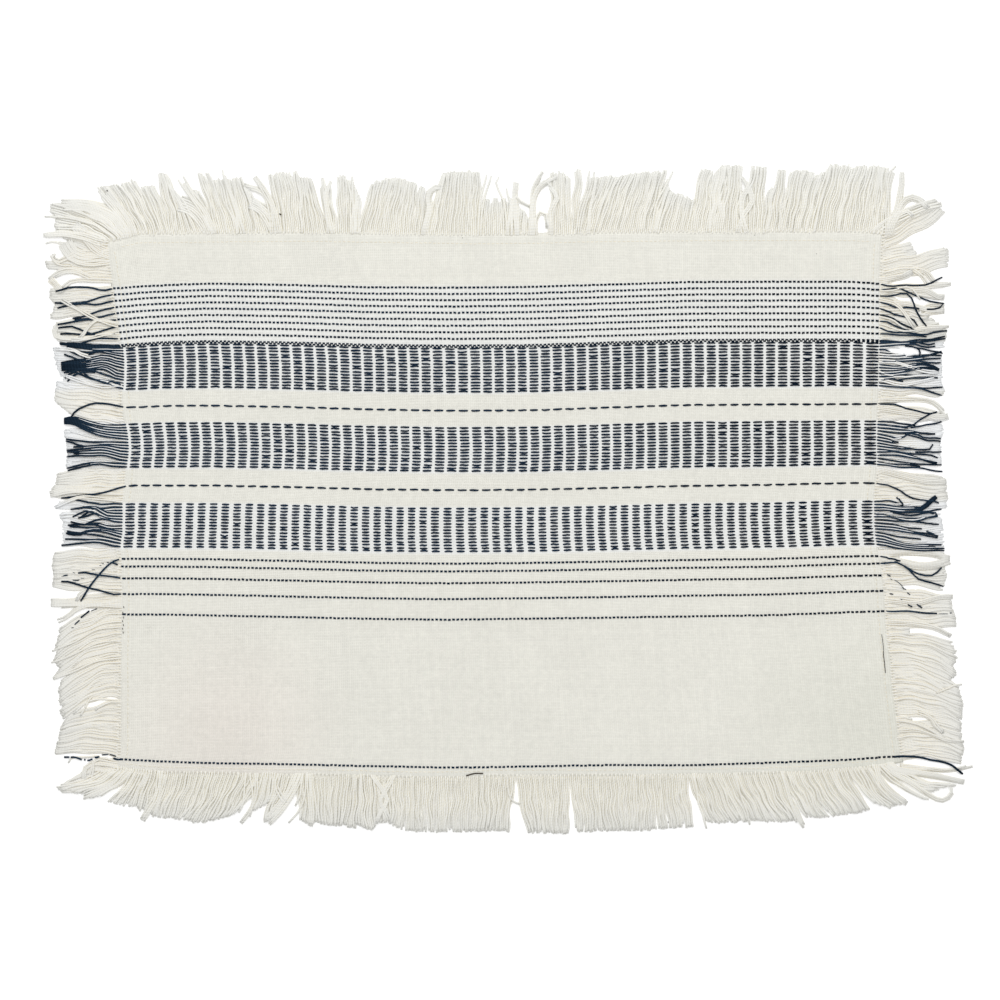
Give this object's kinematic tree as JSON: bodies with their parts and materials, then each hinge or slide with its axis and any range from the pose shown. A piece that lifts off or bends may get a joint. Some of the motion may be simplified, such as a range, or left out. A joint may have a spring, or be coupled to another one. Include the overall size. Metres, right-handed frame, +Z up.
{
  "type": "fabric placemat",
  "caption": "Handwoven cotton placemat lying flat, ivory with navy woven stripes across it and a loose yarn fringe along every edge.",
  "frame": {"origin": "under the middle of the whole mat, fringe included, on the surface that it lies on", "axes": "+X along the mat's long side and its navy stripes, +Y towards the edge that the dotted stripes are nearest to, +Z up from the surface"},
  "size_m": [0.494, 0.355, 0.0017],
  "materials": {
    "ivory_cloth": "matte plain-weave cotton, unbleached ivory",
    "ivory_fringe": "matte loose cotton yarn, unbleached ivory",
    "navy_yarn": "matte navy cotton yarn, woven in across the mat"
  },
  "bodies": {
    "root": {"cloth": "ivory_cloth", "fringe_top": "ivory_fringe", "fringe_bottom": "ivory_fringe", "fringe_left": "ivory_fringe", "fringe_right": "ivory_fringe"}
  },
  "joints": []
}
